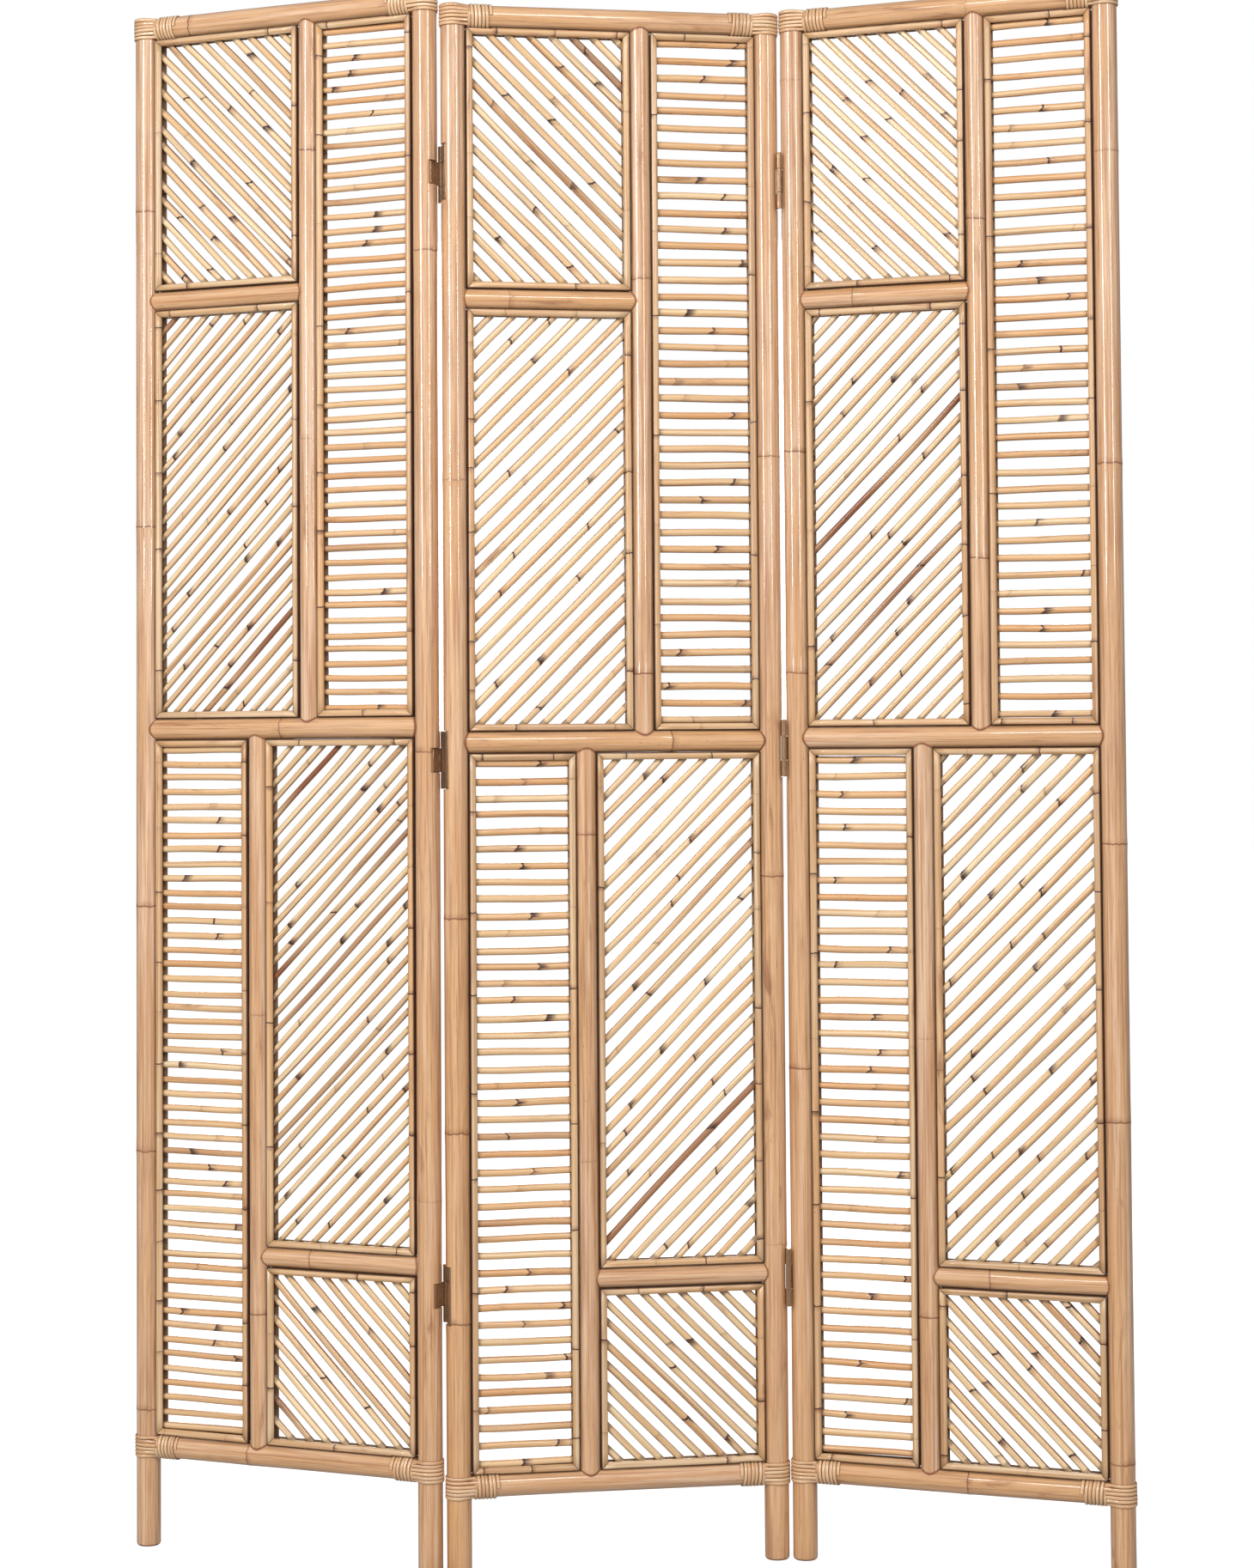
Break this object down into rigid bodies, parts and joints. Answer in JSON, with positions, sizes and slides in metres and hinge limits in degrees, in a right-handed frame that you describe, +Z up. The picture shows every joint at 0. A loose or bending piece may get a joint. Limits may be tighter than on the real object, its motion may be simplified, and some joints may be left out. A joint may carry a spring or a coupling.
{
  "type": "partition screen",
  "caption": "Folding partition screen of hinged rattan-pole panels, each filled with patchwork grilles of slanted and level rods.",
  "frame": {"origin": "on the floor, midway between the feet of the two end stiles, which is the middle of the screen's footprint as it stands in the picture", "axes": "+Z up; +X to the viewer's right along the middle panel; +Y to the back, so the middle panel faces -Y; the left panel folds to the back and the right panel to the front"},
  "size_m": [1.0964, 0.418, 1.81],
  "materials": {
    "pole_rattan": "lacquered cane, satin gloss",
    "slat_rattan": "lacquered thin cane, satin",
    "beading_rattan": "half-round cane beading, satin",
    "peel_rattan": "glossy rattan peel",
    "hinge_bronze": "antique bronze, brushed",
    "screw_bronze": "antique bronze",
    "pin_steel": "plain steel",
    "brad_steel": "plain wire"
  },
  "bodies": {
    "root": {"middle_left_stile": "pole_rattan", "middle_right_stile": "pole_rattan", "middle_top_rail": "pole_rattan", "middle_middle_rail": "pole_rattan", "middle_bottom_rail": "pole_rattan", "middle_upper_mullion": "pole_rattan", "middle_lower_mullion": "pole_rattan", "middle_upper_crossbar": "pole_rattan", "middle_lower_crossbar": "pole_rattan", "middle_brads": "brad_steel", "middle_front_beading": "beading_rattan", "middle_back_beading": "beading_rattan", "middle_level_slats": "slat_rattan", "middle_slanted_slats": "slat_rattan", "middle_binding_straps": "peel_rattan", "middle_binding_turns": "peel_rattan", "left_hinge_outer_leaves": "hinge_bronze", "left_hinge_pins": "pin_steel", "left_hinge_outer_screws": "screw_bronze", "right_hinge_outer_leaves": "hinge_bronze", "right_hinge_pins": "pin_steel", "right_hinge_outer_screws": "screw_bronze"},
    "left_panel": {"left_left_stile": "pole_rattan", "left_right_stile": "pole_rattan", "left_top_rail": "pole_rattan", "left_middle_rail": "pole_rattan", "left_bottom_rail": "pole_rattan", "left_upper_mullion": "pole_rattan", "left_lower_mullion": "pole_rattan", "left_upper_crossbar": "pole_rattan", "left_lower_crossbar": "pole_rattan", "left_brads": "brad_steel", "left_front_beading": "beading_rattan", "left_back_beading": "beading_rattan", "left_level_slats": "slat_rattan", "left_slanted_slats": "slat_rattan", "left_binding_straps": "peel_rattan", "left_binding_turns": "peel_rattan", "left_hinge_inner_leaves": "hinge_bronze", "left_hinge_inner_screws": "screw_bronze"},
    "right_panel": {"right_left_stile": "pole_rattan", "right_right_stile": "pole_rattan", "right_top_rail": "pole_rattan", "right_middle_rail": "pole_rattan", "right_bottom_rail": "pole_rattan", "right_upper_mullion": "pole_rattan", "right_lower_mullion": "pole_rattan", "right_upper_crossbar": "pole_rattan", "right_lower_crossbar": "pole_rattan", "right_brads": "brad_steel", "right_front_beading": "beading_rattan", "right_back_beading": "beading_rattan", "right_level_slats": "slat_rattan", "right_slanted_slats": "slat_rattan", "right_binding_straps": "peel_rattan", "right_binding_turns": "peel_rattan", "right_hinge_inner_leaves": "hinge_bronze", "right_hinge_inner_screws": "screw_bronze"}
  },
  "joints": [
    {"name": "left_fold", "type": "hinge", "parent": "root", "child": "left_panel", "pos_m": [-0.1997, 0.00946, 0.9], "axis": [0, 0, 1], "range_deg": [-148.6, 3.4]},
    {"name": "right_fold", "type": "hinge", "parent": "root", "child": "right_panel", "pos_m": [0.1923, -0.02354, 0.9], "axis": [0, 0, 1], "range_deg": [-151, 1]}
  ]
}
